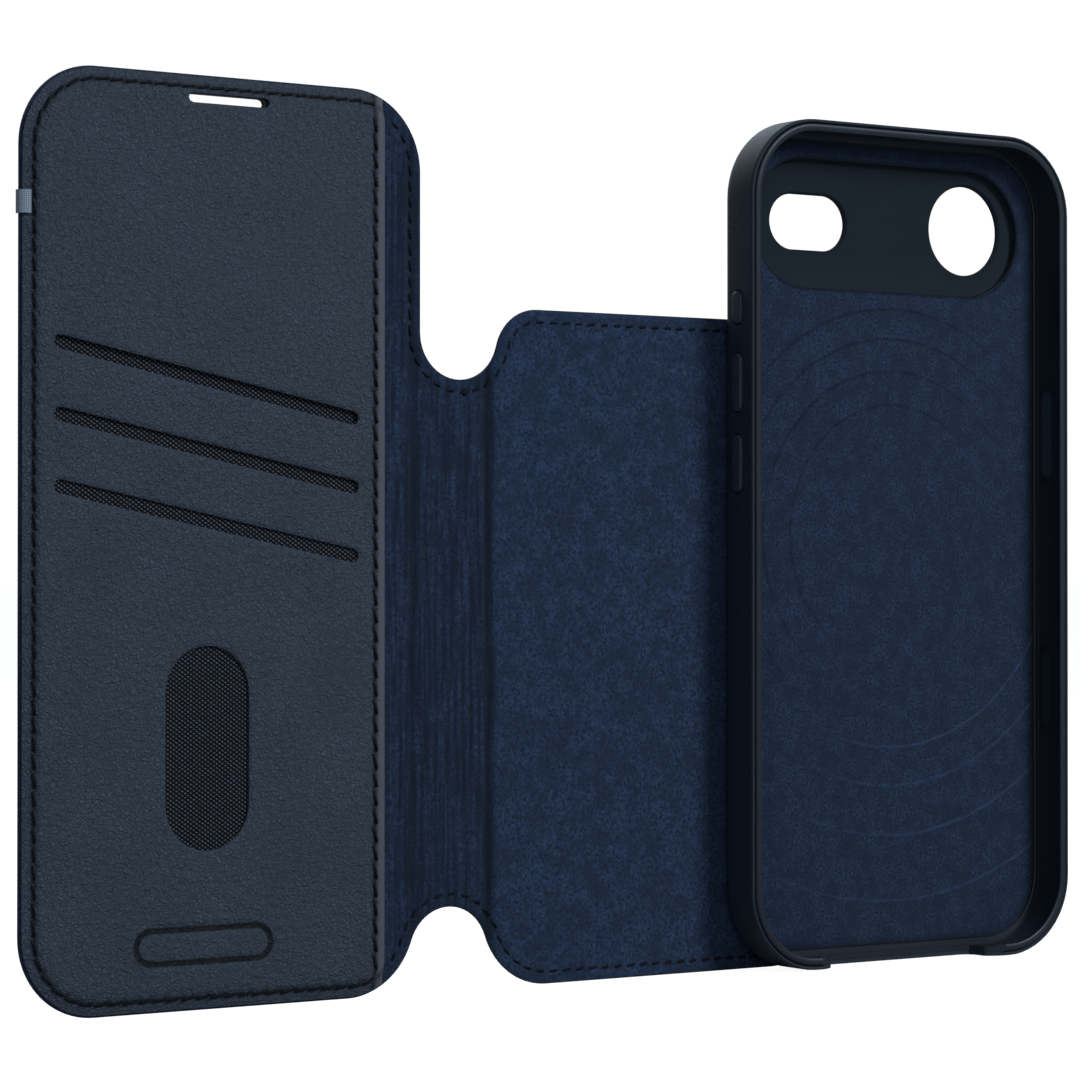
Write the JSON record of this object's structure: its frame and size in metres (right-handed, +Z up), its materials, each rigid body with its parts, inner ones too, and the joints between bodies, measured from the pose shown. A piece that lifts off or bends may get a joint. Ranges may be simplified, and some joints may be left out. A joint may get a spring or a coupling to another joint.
{
  "type": "phone wallet case",
  "caption": "Folding leather phone wallet with card pockets and a thumb window, and a magnetically held phone case with camera windows and side buttons.",
  "frame": {"origin": "bottom centre of the assembly's bounding box, with the wallet standing open flat and the case drawn out to the side", "axes": "+X from the cover's free edge towards the case, +Y from the lined inner faces towards the outer leather, +Z up along the phone's length"},
  "size_m": [0.224, 0.012, 0.16],
  "materials": {
    "pocket_leather": "fine pebble grain, satin",
    "outer_leather": "fine grain, satin",
    "suede": "short nap, matt",
    "pocket_textile": "diagonal weave, matt",
    "thread": "twisted thread",
    "board": "plain",
    "edge_ribbon": "plain woven ribbon",
    "case_shell": "matt",
    "button": "matt",
    "camera_insert": "matt",
    "magnet": "nickel plated"
  },
  "bodies": {
    "back_panel": {"back_outer_leather": "outer_leather", "back_board": "board", "back_lining": "suede", "back_perimeter_thread": "thread", "back_ring_magnet_01": "magnet", "back_ring_magnet_02": "magnet", "back_ring_magnet_03": "magnet", "back_ring_magnet_04": "magnet", "back_ring_magnet_05": "magnet", "back_ring_magnet_06": "magnet", "back_ring_magnet_07": "magnet", "back_ring_magnet_08": "magnet", "back_ring_magnet_09": "magnet", "back_ring_magnet_10": "magnet", "back_ring_magnet_11": "magnet", "back_ring_magnet_12": "magnet", "back_alignment_magnet": "magnet"},
    "spine": {"spine_outer_leather": "outer_leather", "spine_stiffener": "board", "spine_lining": "suede", "spine_upper_thread": "thread", "spine_lower_thread": "thread"},
    "cover": {"cover_outer_leather": "outer_leather", "cover_board": "board", "cover_lining": "suede", "card_liner_upper": "pocket_textile", "card_liner_middle": "pocket_textile", "card_liner_lower": "pocket_textile", "card_pocket_panel": "pocket_leather", "pocket_perimeter_thread": "thread", "pocket_edge_thread": "thread", "cover_upper_thread": "thread", "cover_lower_thread": "thread", "edge_tab": "edge_ribbon"},
    "phone_case": {"case_outer_leather": "outer_leather", "case_shell": "case_shell", "case_lining": "suede", "camera_insert": "camera_insert", "case_ring_magnet_01": "magnet", "case_ring_magnet_02": "magnet", "case_ring_magnet_03": "magnet", "case_ring_magnet_04": "magnet", "case_ring_magnet_05": "magnet", "case_ring_magnet_06": "magnet", "case_ring_magnet_07": "magnet", "case_ring_magnet_08": "magnet", "case_ring_magnet_09": "magnet", "case_ring_magnet_10": "magnet", "case_ring_magnet_11": "magnet", "case_ring_magnet_12": "magnet", "case_alignment_magnet": "magnet"},
    "action_button": {"action_button": "button"},
    "volume_up_button": {"volume_up_button": "button"},
    "volume_down_button": {"volume_down_button": "button"},
    "side_button": {"side_button": "button"}
  },
  "joints": [
    {"name": "spine_fold", "type": "hinge", "parent": "back_panel", "child": "spine", "pos_m": [-0.01887, 0.0049, 0.06], "axis": [0, 0, 1], "range_deg": [-90, 90]},
    {"name": "cover_fold", "type": "hinge", "parent": "spine", "child": "cover", "pos_m": [-0.03338, 0.0049, 0.06], "axis": [0, 0, 1], "range_deg": [-90, 90]},
    {"name": "case_slide", "type": "slide", "parent": "back_panel", "child": "phone_case", "axis": [1, 0, 0], "range_m": [-0.05, 0.03]},
    {"name": "action_press", "type": "slide", "parent": "phone_case", "child": "action_button", "axis": [1, 0, 0], "range_m": [0, 0.0004], "stiffness_N_per_m": 500, "springref_m": -0.0005},
    {"name": "volume_up_press", "type": "slide", "parent": "phone_case", "child": "volume_up_button", "axis": [1, 0, 0], "range_m": [0, 0.0004], "stiffness_N_per_m": 500, "springref_m": -0.0005},
    {"name": "volume_down_press", "type": "slide", "parent": "phone_case", "child": "volume_down_button", "axis": [1, 0, 0], "range_m": [0, 0.0004], "stiffness_N_per_m": 500, "springref_m": -0.0005},
    {"name": "side_press", "type": "slide", "parent": "phone_case", "child": "side_button", "axis": [-1, 0, 0], "range_m": [0, 0.0004], "stiffness_N_per_m": 500, "springref_m": -0.0005}
  ]
}
